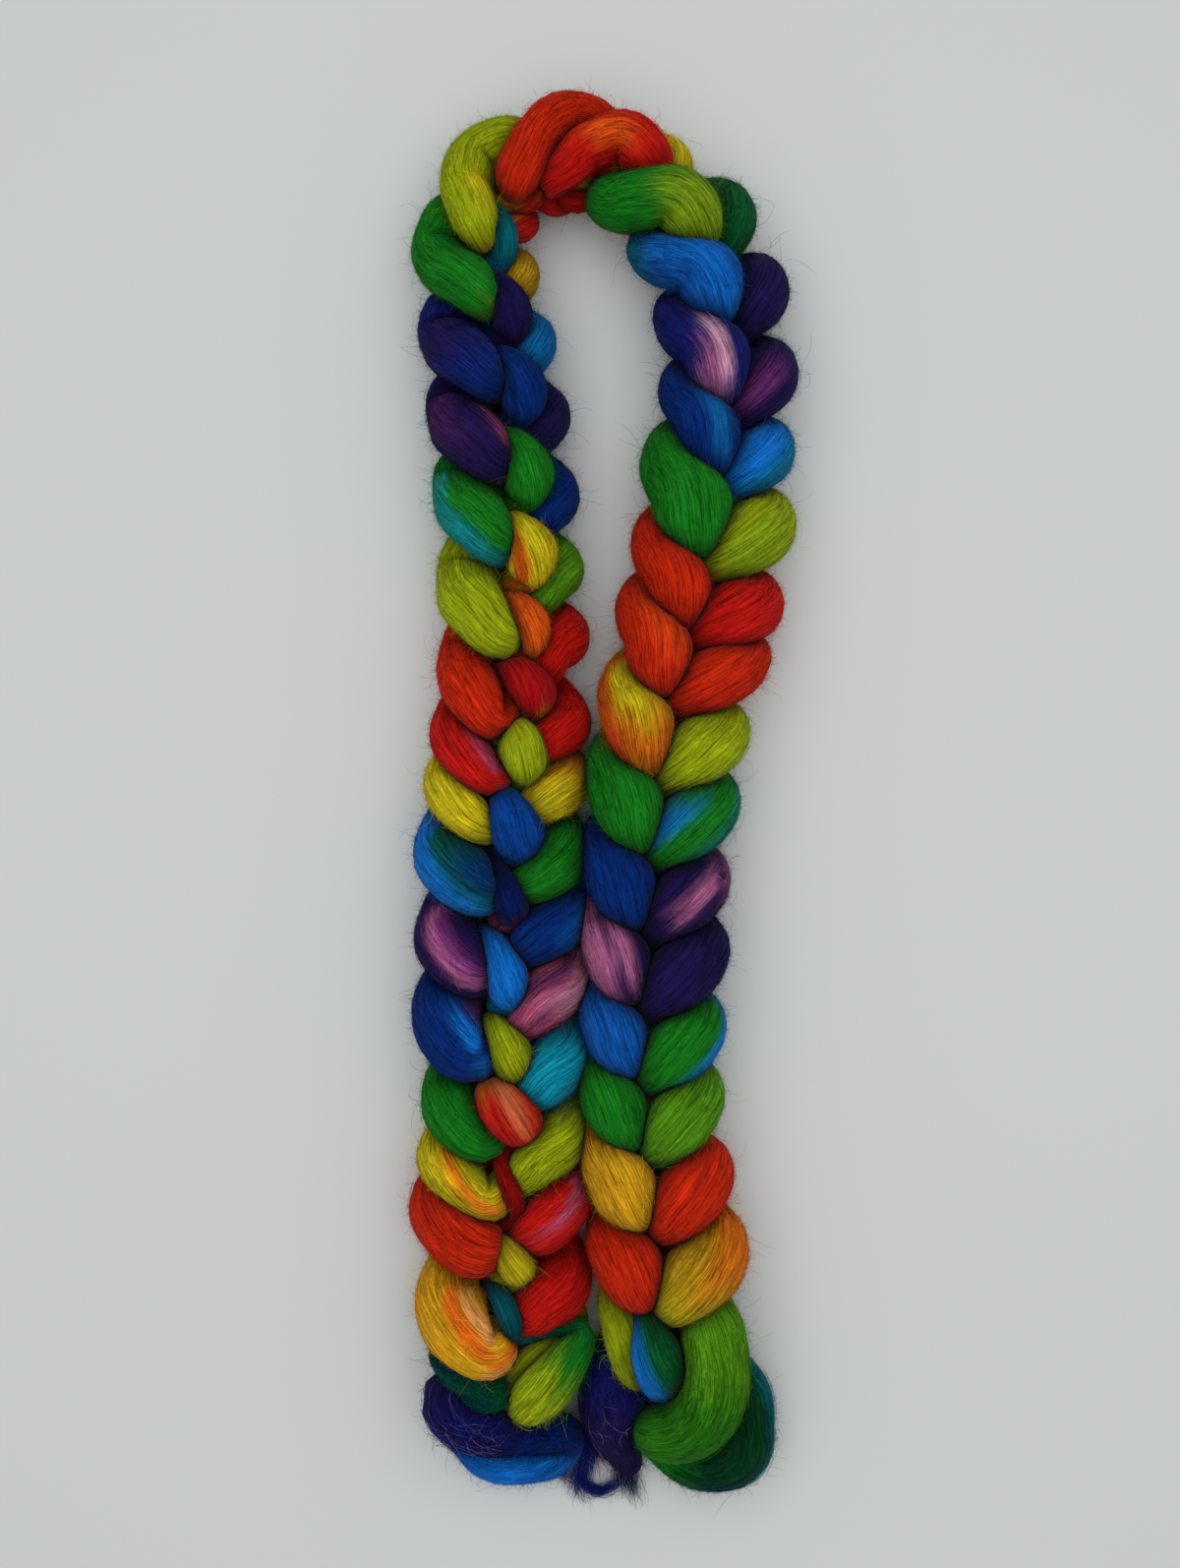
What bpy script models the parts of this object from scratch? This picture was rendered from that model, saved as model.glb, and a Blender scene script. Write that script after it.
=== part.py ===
"""Braid of wool roving: one length of combed top looped into a chain and laid in an inverted U.

The roving's centre line is worked out stitch by stitch along the braid's axis, then a round
section is swept along it and the touching turns are fused into the one solid they form.
Metres, +Z up; the braid lies on z = 0 with its arch toward +Y.
"""
import math

import bmesh
import bpy
import numpy as np

NAME = "roving_braid"
MM = 0.001

GIRTH = 16.0  # radius of the roving at the belly of a leg, in a braid of FULL_WIDTH
FULL_WIDTH = 31.0  # half the width across the braid that GIRTH goes with
HALF_THICKNESS = 24.0
REST_HEIGHT = 22.0  # height of the axis: the underside flattens a little on the table
ROW = 32.0  # the usual distance from one stitch to the next

CURVE_STEPS = 12  # points of the smooth curve from one row of a table to the next
LOOK = 2.0  # how far before and after a place the axis is read for its direction
SECTION_SIDES = 16
SECTION_STEP = 3.0  # distance between two sections along the roving
FUSE_STEP = 2.0  # grid on which the turns are fused
FACES = 9600
FLAT_WITHIN = 0.9  # what is this near the table lies flat on it
WOOL_COLOUR = (0.06, 0.22, 0.08, 1.0)
WOOL_ROUGHNESS = 0.9

# The axis of the braid, from the first stitch up the right arm, round the arch and down the
# left arm. roll turns the chain about its axis: 0 shows its front, 180 its back.
AXIS = (
    # x, y, half_width, roll
    (27, -268, 31, 0),
    (32, -207, 33, -8),
    (25, -150, 31, -8),
    (25, -98, 32, -8),
    (27, -38, 31, -4),
    (34, 24, 32, 0),
    (46, 75, 33, 6),
    (53, 115, 33, 10),
    (59, 165, 28, 14),
    (57, 202, 28, 20),
    (47, 231, 28, 30),
    (30, 251, 27, 48),
    (7, 265.5, 24, 75),
    (-19, 267, 23, 104),
    (-38, 257, 22, 122),
    (-48, 237, 23, 134),
    (-46, 211, 25, 140),
    (-40, 172, 28.5, 144),
    (-36, 130, 30, 148),
    (-33, 50, 31.5, 153),
    (-37, -18, 36, 167),
    (-37, -90, 37, 175),
    (-36, -150, 37, 173),
    (-37, -210, 35.5, 168),
    (-37, -290, 35, 162),
)
AXIS_START = 5.5  # how far along the axis the first stitch begins

# The stitches in the order they were worked. gap is the distance to the next stitch, lead how
# far the left leg sits ahead of the right one, and left, right and bump are shares of a full girth.
STITCHES = (
    # gap, lead, left, right, bump
    (36, 18, 0.63, 1.00, 1.00),
    (36, 11, 0.95, 1.05, 1.00),
    (32, 21, 1.00, 1.00, 1.00),
    (31, 13, 0.95, 0.95, 1.00),
    (32, 13, 0.92, 0.92, 1.00),
    (31, 12, 1.00, 1.00, 1.00),
    (34, 12, 1.00, 0.98, 1.00),
    (31, 11, 1.05, 1.02, 1.00),
    (36, 11, 0.98, 0.98, 1.00),
    (25, 10, 1.00, 1.02, 1.00),
    (35, 17, 0.92, 1.00, 1.00),
    (32, 18, 1.10, 1.00, 1.00),
    (32, 17, 1.02, 0.92, 1.00),
    (35, 17, 1.10, 0.96, 1.00),
    (32, 21, 1.05, 0.96, 1.00),
    (32, 20, 1.10, 1.00, 0.85),
    (22, 22, 1.05, 1.00, 0.80),
    (33, 12, 1.18, 1.00, 0.72),
    (31, 8, 1.12, 1.00, 0.66),
    (33, 4, 1.10, 1.00, 0.70),
    (33, 8, 1.05, 1.00, 0.85),
    (34, 10, 1.05, 0.98, 1.00),
    (36, 10, 1.02, 1.00, 1.00),
    (33, 17, 1.00, 0.95, 1.00),
    (31, 24, 0.98, 1.00, 0.80),
    (21, 13, 0.95, 0.98, 0.88),
    (31, 9, 0.90, 0.98, 0.90),
    (31, 2, 1.02, 0.98, 0.95),
    (30, 9, 0.98, 1.02, 0.68),
    (36, 17, 1.05, 1.05, 0.85),
    (30, 19, 0.85, 1.00, 0.82),
    (22, 15, 0.98, 0.96, 1.00),
    (41, 5, 1.15, 1.00, 0.46),
    (21, 13, 1.06, 1.02, 0.72),
    (28, 8, 0.72, 1.00, 0.52),
)

# One stitch, each leg listed from its foot. across is a share of the half width, along a share of
# a row, depth a share of the half thickness toward the chain's front, and girth a share of GIRTH.
RIGHT_LEG = (
    # across, along, depth, girth
    (0.00, 0.08, -0.28, 0.62),  # pulled up through the loop below
    (0.06, 0.20, 0.22, 0.84),  # foot
    (0.40, 0.58, 0.44, 0.97),  # belly
    (0.62, 0.93, 0.12, 0.92),  # shoulder
    (0.56, 1.13, -0.26, 0.86),  # turn to the back
    (0.30, 1.36, -0.42, 0.82),  # into the arch
)
ARCH = (0.0, 1.46, -0.30, 0.70)
LEFT_LEG = (
    # across, along, depth, girth
    (-0.10, 0.18, -0.16, 0.66),  # down through the loop below
    (-0.27, 0.28, 0.42, 0.90),  # foot, which lies over the right one
    (-0.40, 0.64, 0.54, 0.98),  # belly
    (-0.58, 0.93, 0.14, 0.94),  # shoulder
    (-0.56, 1.13, -0.26, 0.86),  # turn to the back
    (-0.30, 1.36, -0.42, 0.82),  # into the arch
)
BUMP = (
    # across, along, depth, girth
    (-0.10, 0.30, -0.50, 0.66),
    (0.00, 0.62, -0.66, 0.80),
    (0.10, 0.93, -0.46, 0.72),
)

# The roving before the first stitch: the frayed end, a turn over it, a bend beside the chain
# and the hook that is the first loop's right leg.
START = (
    # x, y, z, girth
    (17, -301, 6, 5.0),
    (15, -291, 10, 9.0),
    (11, -279, 14, 14.0),
    (11, -266, 18, 16.5),
    (11, -254, 18, 14.0),
    (12, -244, 13, 10.0),
    (18, -235, 15, 9.0),
    (22, -230, 29, 11.5),
    (26, -243, 35, 14.5),
    (37, -257, 24, 12.0),
    (53, -254, 14, 12.0),
    (64, -267, 14, 14.5),
    (64, -289, 14, 15.0),
    (48, -295, 12, 13.0),
    (34, -288, 11, 11.0),
    (26, -281, 14, 9.0),
    (24, -276, 21, 9.0),
    (30, -277, 29, 12.5),
    (40, -274, 32, 15.5),
    (49, -263, 33, 16.5),
    (52, -246, 33, 15.5),
    (48, -226, 28, 14.0),
)

# The roving after the last stitch: a last bulge, then the end tucked back under it.
FINISH = (
    # x, y, z, girth
    (-7, -236, 24, 9.0),
    (-14, -246, 32, 13.0),
    (-24, -257, 33, 15.0),
    (-34, -267, 23, 12.0),
    (-47, -261, 20, 12.0),
    (-58, -263, 29, 15.0),
    (-49, -271, 30, 15.0),
    (-28, -278, 23, 11.0),
    (-10, -284, 15, 8.5),
    (-20, -295, 10, 9.5),
    (-42, -296, 10, 9.5),
    (-57, -286, 9, 7.0),
)


def curve_through(points):
    """The points of a smooth curve (a Catmull-Rom spline) through every row of a table."""
    rows = np.asarray(points, float)
    ends = np.vstack([2 * rows[0] - rows[1], rows, 2 * rows[-1] - rows[-2]])
    curve = []
    for i in range(1, len(ends) - 2):
        before, here, there, beyond = ends[i - 1 : i + 3]
        straight = there - before
        square = 2 * before - 5 * here + 4 * there - beyond
        cube = 3 * here - before - 3 * there + beyond
        for k in range(CURVE_STEPS):
            t = k / CURVE_STEPS
            curve.append((2 * here + straight * t + square * t**2 + cube * t**3) / 2)
    curve.append(rows[-1])
    return np.array(curve)


def lengths(points):
    """How far along the curve each of its points lies."""
    return np.r_[0.0, np.cumsum(np.linalg.norm(np.diff(points, axis=0), axis=1))]


class Axis:
    """The braid's axis, read by the distance along it."""

    def __init__(self):
        self.rows = curve_through(AXIS)
        self.at = lengths(self.rows[:, :2])

    def read(self, s):
        return np.array([np.interp(s, self.at, column) for column in self.rows.T])

    def place(self, s, across, depth):
        """A point at s along the axis, across the chain and out toward its front."""
        x, y, half_width, roll = self.read(s)
        ahead = self.read(s + LOOK)[:2] - self.read(s - LOOK)[:2]
        ahead = ahead / np.linalg.norm(ahead)
        right = np.array([ahead[1], -ahead[0], 0.0])
        up = np.array([0.0, 0.0, 1.0])
        turn = math.radians(roll)
        front = math.cos(turn) * up + math.sin(turn) * right
        side = math.cos(turn) * right - math.sin(turn) * up
        middle = np.array([x, y, REST_HEIGHT])
        return middle + across * half_width * side + depth * HALF_THICKNESS * front


def stitch_points(axis, start, stitch):
    """One stitch: up the right leg, over the arch, down the left leg and along the bump."""
    gap, lead, left, right, bump = stitch
    half_width = axis.read(start + ROW)[2]
    girth = GIRTH * half_width / FULL_WIDTH
    points = []

    def add(across, along, depth, share, ahead):
        place = axis.place(start + along * ROW + ahead, across, depth)
        points.append([*place, girth * share])

    for across, along, depth, share in RIGHT_LEG:
        add(across, along, depth, share * right, -lead / 2 * along)
    across, along, depth, share = ARCH
    add(across, along, depth, share, 0.0)
    for across, along, depth, share in reversed(LEFT_LEG):
        add(across, along, depth, share * left, lead / 2 * along)
    for across, along, depth, share in BUMP:
        add(across, along * gap / ROW, depth, share * bump, 0.0)
    return points


def roving_route():
    """Every point of the roving's centre line, with the girth there."""
    axis = Axis()
    start = AXIS_START
    chain = []
    for stitch in STITCHES:
        chain += stitch_points(axis, start, stitch)
        start += stitch[0]
    skipped = len(RIGHT_LEG) - 1  # the start table is the first loop's right leg
    return [*START, *chain[skipped:], *FINISH]


def even_sections(route, step):
    """The route as a smooth curve with a point every step, its girth in the last column."""
    fine = curve_through(route)
    at = lengths(fine[:, :3])
    count = int(at[-1] / step)
    even = np.linspace(0.0, at[-1], count)
    return np.column_stack([np.interp(even, at, column) for column in fine.T])


def sweep(bm, sections):
    """A round section swept along the route, closed at both ends."""
    centres = sections[:, :3]
    girths = sections[:, 3]
    tangents = np.gradient(centres, axis=0)
    tangents /= np.linalg.norm(tangents, axis=1)[:, None]
    normal = np.cross(tangents[0], [0.0, 0.0, 1.0])
    rings = []
    for centre, tangent, girth in zip(centres, tangents, girths):
        normal = normal - tangent * (normal @ tangent)
        normal = normal / np.linalg.norm(normal)
        binormal = np.cross(tangent, normal)
        ring = []
        for k in range(SECTION_SIDES):
            angle = 2 * math.pi * k / SECTION_SIDES
            point = centre + girth * (math.cos(angle) * normal + math.sin(angle) * binormal)
            ring.append(bm.verts.new((point[0] * MM, point[1] * MM, max(point[2], 0.0) * MM)))
        rings.append(ring)
    for ring, following in zip(rings, rings[1:]):
        for k in range(SECTION_SIDES):
            after = (k + 1) % SECTION_SIDES
            bm.faces.new((ring[k], ring[after], following[after], following[k]))
    bm.faces.new(reversed(rings[0]))
    bm.faces.new(rings[-1])


def apply_modifiers(obj):
    """Replaces an object's mesh with what its modifiers make of it."""
    shown = obj.evaluated_get(bpy.context.evaluated_depsgraph_get())
    made = bpy.data.meshes.new_from_object(shown)
    obj.modifiers.clear()
    obj.data = made


def keep_outer_skin(bm):
    """Removes the shells of the small hollows that the turns close in."""
    left = set(bm.faces)
    shells = []
    while left:
        shell = [left.pop()]
        for face in shell:
            for edge in face.edges:
                for other in edge.link_faces:
                    if other in left:
                        left.remove(other)
                        shell.append(other)
        shells.append(shell)
    outer = max(shells, key=len)
    inner = [face for shell in shells if shell is not outer for face in shell]
    bmesh.ops.delete(bm, geom=inner, context="FACES")


def settle(mesh):
    """Lays the underside flat on z = 0 and puts the origin under the middle of the braid."""
    places = np.empty(3 * len(mesh.vertices))
    mesh.vertices.foreach_get("co", places)
    places = places.reshape(-1, 3)
    places[places[:, 2] < FLAT_WITHIN * MM, 2] = 0.0
    places[:, :2] -= (places.min(axis=0) + places.max(axis=0))[:2] / 2
    mesh.vertices.foreach_set("co", places.ravel())


def wool():
    material = bpy.data.materials.new("dyed wool")
    material.use_nodes = True
    shader = material.node_tree.nodes["Principled BSDF"]
    shader.inputs["Base Color"].default_value = WOOL_COLOUR
    shader.inputs["Roughness"].default_value = WOOL_ROUGHNESS
    shader.inputs["Metallic"].default_value = 0.0
    material.diffuse_color = WOOL_COLOUR
    return material


def build():
    for obj in list(bpy.data.objects):
        bpy.data.objects.remove(obj, do_unlink=True)
    mesh = bpy.data.meshes.new(NAME)
    braid = bpy.data.objects.new(NAME, mesh)
    bpy.context.scene.collection.objects.link(braid)

    bm = bmesh.new()
    sweep(bm, even_sections(roving_route(), SECTION_STEP))
    bm.to_mesh(mesh)
    bm.free()

    fuse = braid.modifiers.new("fuse the turns", "REMESH")
    fuse.mode = "VOXEL"
    fuse.voxel_size = FUSE_STEP * MM
    apply_modifiers(braid)
    bm = bmesh.new()
    bm.from_mesh(braid.data)
    keep_outer_skin(bm)
    bm.to_mesh(braid.data)
    bm.free()

    bpy.context.view_layer.update()
    fewer = braid.modifiers.new("fewer faces", "DECIMATE")
    fused_triangles = 2 * len(braid.data.polygons)
    fewer.ratio = FACES / fused_triangles
    apply_modifiers(braid)
    settle(braid.data)
    braid.data.shade_smooth()
    braid.data.materials.clear()
    braid.data.materials.append(wool())


build()
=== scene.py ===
import math

import bpy
import numpy as np
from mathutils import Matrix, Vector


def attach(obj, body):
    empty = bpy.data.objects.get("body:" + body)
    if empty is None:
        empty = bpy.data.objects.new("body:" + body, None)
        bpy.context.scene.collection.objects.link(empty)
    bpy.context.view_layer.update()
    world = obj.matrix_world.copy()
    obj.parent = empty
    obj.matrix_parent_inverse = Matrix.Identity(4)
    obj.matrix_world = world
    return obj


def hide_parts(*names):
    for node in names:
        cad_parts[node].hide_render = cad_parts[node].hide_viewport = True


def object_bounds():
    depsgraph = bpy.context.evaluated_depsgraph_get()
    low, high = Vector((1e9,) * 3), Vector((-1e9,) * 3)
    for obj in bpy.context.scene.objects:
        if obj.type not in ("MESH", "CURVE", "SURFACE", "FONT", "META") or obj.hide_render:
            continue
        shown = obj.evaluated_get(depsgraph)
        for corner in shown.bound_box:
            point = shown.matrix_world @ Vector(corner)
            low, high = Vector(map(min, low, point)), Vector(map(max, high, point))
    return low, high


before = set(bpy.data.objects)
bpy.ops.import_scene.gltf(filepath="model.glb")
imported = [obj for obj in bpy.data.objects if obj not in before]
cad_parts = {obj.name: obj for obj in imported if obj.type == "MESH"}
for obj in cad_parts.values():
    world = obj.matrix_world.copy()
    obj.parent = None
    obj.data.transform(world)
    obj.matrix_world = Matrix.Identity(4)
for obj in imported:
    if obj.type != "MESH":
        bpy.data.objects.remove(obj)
cadLow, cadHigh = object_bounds()
mm = 0.001
print("frame loaded")


# the way the roving runs, in millimetres, as the frame has it
chain = {
    "girth": 16.0,  # radius of the roving at the belly of a leg
    "fullWidth": 31.0,  # the half width of the braid that this girth goes with
    "halfThickness": 24.0,
    "restHeight": 22.0,
    "row": 32.0,  # the length of a stitch that the leg rows are drawn for
    "firstStitch": 5.5,
    "lookAhead": 2.0,  # how far to each side the direction of the braid is read
    "curveSteps": 12,  # between two control points
}

axisRows = (
    # x, y, half width, roll
    (27, -268, 31, 0),
    (32, -207, 33, -8),
    (25, -150, 31, -8),
    (25, -98, 32, -8),
    (27, -38, 31, -4),
    (34, 24, 32, 0),
    (46, 75, 33, 6),
    (53, 115, 33, 10),
    (59, 165, 28, 14),
    (57, 202, 28, 20),
    (47, 231, 28, 30),
    (30, 251, 27, 48),
    (7, 265.5, 24, 75),
    (-19, 267, 23, 104),
    (-38, 257, 22, 122),
    (-48, 237, 23, 134),
    (-46, 211, 25, 140),
    (-40, 172, 28.5, 144),
    (-36, 130, 30, 148),
    (-33, 50, 31.5, 153),
    (-37, -18, 36, 167),
    (-37, -90, 37, 175),
    (-36, -150, 37, 173),
    (-37, -210, 35.5, 168),
    (-37, -290, 35, 162),
)

stitchRows = (
    # gap to the next stitch, how much further the left leg reaches than the right one,
    # girths of left leg, right leg and bump, dyes of right leg, left leg and bump
    (36, 18, 0.63, 1.00, 1.00, "green", "lime", "gold"),
    (36, 11, 0.95, 1.05, 1.00, "olive gold", "orange red", "orange red"),
    (32, 21, 1.00, 1.00, 1.00, "orange red", "gold", "lime"),
    (31, 13, 0.95, 0.95, 1.00, "lime green", "green", "green"),
    (32, 13, 0.92, 0.92, 1.00, "green", "azure", "navy"),
    (31, 12, 1.00, 1.00, 1.00, "violet", "violet", "violet"),
    (34, 12, 1.00, 0.98, 1.00, "violet", "blue", "teal"),
    (31, 11, 1.05, 1.02, 1.00, "green", "green", "lime"),
    (36, 11, 0.98, 0.98, 1.00, "lime", "yellow", "orange"),
    (25, 10, 1.00, 1.02, 1.00, "orange red", "orange red", "orange red"),
    (35, 17, 0.92, 1.00, 1.00, "red", "orange red", "orange"),
    (32, 18, 1.10, 1.00, 1.00, "lime", "green", "teal"),
    (32, 17, 1.02, 0.92, 1.00, "sky", "blue", "navy"),
    (35, 17, 1.10, 0.96, 1.00, "violet", "violet blue", "violet"),
    (32, 21, 1.05, 0.96, 1.00, "violet", "azure", "teal"),
    (32, 20, 1.10, 1.00, 0.85, "bottle green", "green", "lime"),
    (22, 22, 1.05, 1.00, 0.80, "yellow", "red", "red"),
    (33, 12, 1.18, 1.00, 0.72, "red", "orange red", "red"),
    (31, 8, 1.12, 1.00, 0.66, "red", "lime", "red"),
    (33, 4, 1.10, 1.00, 0.70, "olive gold", "green", "teal"),
    (33, 8, 1.05, 1.00, 0.85, "teal blue", "violet blue", "violet"),
    (34, 10, 1.05, 0.98, 1.00, "violet", "violet", "blue"),
    (36, 10, 1.02, 1.00, 1.00, "blue", "green", "green"),
    (33, 17, 1.00, 0.95, 1.00, "lime green", "lime", "yellow"),
    (31, 24, 0.98, 1.00, 0.80, "red", "orange red", "orange"),
    (21, 13, 0.95, 0.98, 0.88, "red", "red", "deep red"),
    (31, 9, 0.90, 0.98, 0.90, "yellow", "yellow", "lime"),
    (31, 2, 1.02, 0.98, 0.95, "green", "bottle green", "royal blue"),
    (30, 9, 0.98, 1.02, 0.68, "blue", "violet", "navy"),
    (36, 17, 1.05, 1.05, 0.85, "rose", "blue", "sky"),
    (30, 19, 0.85, 1.00, 0.82, "cyan", "green", "lime"),
    (22, 15, 0.98, 0.96, 1.00, "lime", "yellow", "red"),
    (41, 5, 1.15, 1.00, 0.46, "red", "orange red", "red"),
    (21, 13, 1.06, 1.02, 0.72, "red", "gold", "yellow"),
    (28, 8, 0.72, 1.00, 0.52, "lime", "deep teal", "teal"),
)

rightLegRows = (
    # across, along, depth, girth: shares of the numbers in chain
    (0.00, 0.08, -0.28, 0.62),
    (0.06, 0.20, 0.22, 0.84),
    (0.40, 0.58, 0.44, 0.97),
    (0.62, 0.93, 0.12, 0.92),
    (0.56, 1.13, -0.26, 0.86),
    (0.30, 1.36, -0.42, 0.82),
)
archRow = (0.0, 1.46, -0.30, 0.70)
leftLegRows = (
    (-0.10, 0.18, -0.16, 0.66),
    (-0.27, 0.28, 0.42, 0.90),
    (-0.40, 0.64, 0.54, 0.98),
    (-0.58, 0.93, 0.14, 0.94),
    (-0.56, 1.13, -0.26, 0.86),
    (-0.30, 1.36, -0.42, 0.82),
)
bumpRows = (
    (-0.10, 0.30, -0.50, 0.66),
    (0.00, 0.62, -0.66, 0.80),
    (0.10, 0.93, -0.46, 0.72),
)

startRows = (
    # x, y, z, girth, dye
    (17, -301, 6, 5.0, "violet"),
    (15, -291, 10, 9.0, "violet"),
    (11, -279, 14, 14.0, "violet"),
    (11, -266, 18, 16.5, "violet"),
    (11, -254, 18, 14.0, "violet blue"),
    (12, -244, 13, 10.0, "navy"),
    (18, -235, 15, 9.0, "bottle green"),
    (22, -230, 29, 11.5, "bottle green"),
    (26, -243, 35, 14.5, "bottle green"),
    (37, -257, 24, 12.0, "bottle green"),
    (53, -254, 14, 12.0, "pine"),
    (64, -267, 14, 14.5, "pine"),
    (64, -289, 14, 15.0, "pine"),
    (48, -295, 12, 13.0, "pine"),
    (34, -288, 11, 11.0, "green"),
    (26, -281, 14, 9.0, "green"),
    (24, -276, 21, 9.0, "green"),
    (30, -277, 29, 12.5, "leaf green"),
    (40, -274, 32, 15.5, "leaf green"),
    (49, -263, 33, 16.5, "leaf green"),
    (52, -246, 33, 15.5, "lime green"),
    (48, -226, 28, 14.0, "lime green"),
)
finishRows = (
    (-7, -236, 24, 9.0, "green"),
    (-14, -246, 32, 13.0, "green"),
    (-24, -257, 33, 15.0, "lime"),
    (-34, -267, 23, 12.0, "lime"),
    (-47, -261, 20, 12.0, "navy"),
    (-58, -263, 29, 15.0, "violet"),
    (-49, -271, 30, 15.0, "violet"),
    (-28, -278, 23, 11.0, "navy"),
    (-10, -284, 15, 8.5, "navy"),
    (-20, -295, 10, 9.5, "sky"),
    (-42, -296, 10, 9.5, "sky"),
    (-57, -286, 9, 7.0, "navy"),
)


def curveThrough(points):
    rows = np.asarray(points, float)
    steps = chain["curveSteps"]
    ends = np.vstack([2 * rows[0] - rows[1], rows, 2 * rows[-1] - rows[-2]])
    made = []
    for i in range(1, len(ends) - 2):
        a, b, c, d = ends[i - 1 : i + 3]
        for k in range(steps):
            t = k / steps
            square = (2 * a - 5 * b + 4 * c - d) * t**2
            cube = (3 * b - a - 3 * c + d) * t**3
            made.append(0.5 * (2 * b + (c - a) * t + square + cube))
    made.append(rows[-1])
    return np.array(made)


def lengths(points):
    return np.r_[0.0, np.cumsum(np.linalg.norm(np.diff(points, axis=0), axis=1))]


def unit(vectors):
    return vectors / np.maximum(np.linalg.norm(vectors, axis=-1, keepdims=True), 1e-9)


class Axis:
    def __init__(self):
        self.rows = curveThrough(axisRows)
        self.at = lengths(self.rows[:, :2])

    def read(self, s):
        return np.array([np.interp(s, self.at, column) for column in self.rows.T])

    def place(self, s, across, depth):
        x, y, halfWidth, roll = self.read(s)
        step = chain["lookAhead"]
        ahead = unit(self.read(s + step)[:2] - self.read(s - step)[:2])
        right = np.array([ahead[1], -ahead[0], 0.0])
        up = np.array([0.0, 0.0, 1.0])
        turn = math.radians(roll)
        front = math.cos(turn) * up + math.sin(turn) * right
        side = math.cos(turn) * right - math.sin(turn) * up
        middle = np.array([x, y, chain["restHeight"]])
        return middle + across * halfWidth * side + depth * chain["halfThickness"] * front


def rovingRoute():
    # every control point of the roving, with its girth and its dye
    axis = Axis()
    points = []
    rowDyes = []
    start = chain["firstStitch"]
    for gap, lead, left, right, bump, rightDye, leftDye, bumpDye in stitchRows:
        girth = chain["girth"] * axis.read(start + chain["row"])[2] / chain["fullWidth"]

        def add(across, along, depth, share, ahead, dye):
            place = axis.place(start + along * chain["row"] + ahead, across, depth)
            points.append([*place, girth * share])
            rowDyes.append(dye)

        for across, along, depth, share in rightLegRows:
            add(across, along, depth, share * right, -lead / 2 * along, rightDye)
        across, along, depth, share = archRow
        add(across, along, depth, share, 0.0, None)
        for across, along, depth, share in reversed(leftLegRows):
            add(across, along, depth, share * left, lead / 2 * along, leftDye)
        for across, along, depth, share in bumpRows:
            add(across, along * gap / chain["row"], depth, share * bump, 0.0, bumpDye)
        start += gap
    skipped = len(rightLegRows) - 1
    points = [r[:4] for r in startRows] + points[skipped:] + [r[:4] for r in finishRows]
    rowDyes = [r[4] for r in startRows] + rowDyes[skipped:] + [r[4] for r in finishRows]
    return np.array(points, float), rowDyes


dyes = {  # as they look, 0 to 255
    "red": (178, 20, 14),
    "deep red": (158, 14, 18),
    "orange red": (182, 36, 10),
    "orange": (210, 84, 20),
    "peach": (226, 158, 96),
    "gold": (198, 148, 24),
    "olive gold": (166, 128, 20),
    "yellow": (190, 174, 22),
    "lime": (142, 156, 14),
    "lime green": (80, 136, 18),
    "leaf green": (36, 104, 16),
    "green": (20, 112, 24),
    "bottle green": (6, 76, 34),
    "pine": (5, 54, 28),
    "teal": (6, 100, 112),
    "deep teal": (6, 62, 66),
    "teal blue": (10, 100, 160),
    "cyan": (10, 140, 166),
    "sky": (14, 104, 190),
    "azure": (12, 76, 152),
    "royal blue": (6, 60, 136),
    "blue": (4, 40, 108),
    "navy": (6, 26, 84),
    "violet blue": (16, 24, 96),
    "violet": (27, 17, 68),
    "plum": (116, 48, 108),
    "rose": (164, 70, 104),
    "pink": (186, 104, 144),
    "pale pink": (214, 160, 180),
    "heather": (92, 88, 138),
    "undyed": (196, 190, 196),
}

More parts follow.
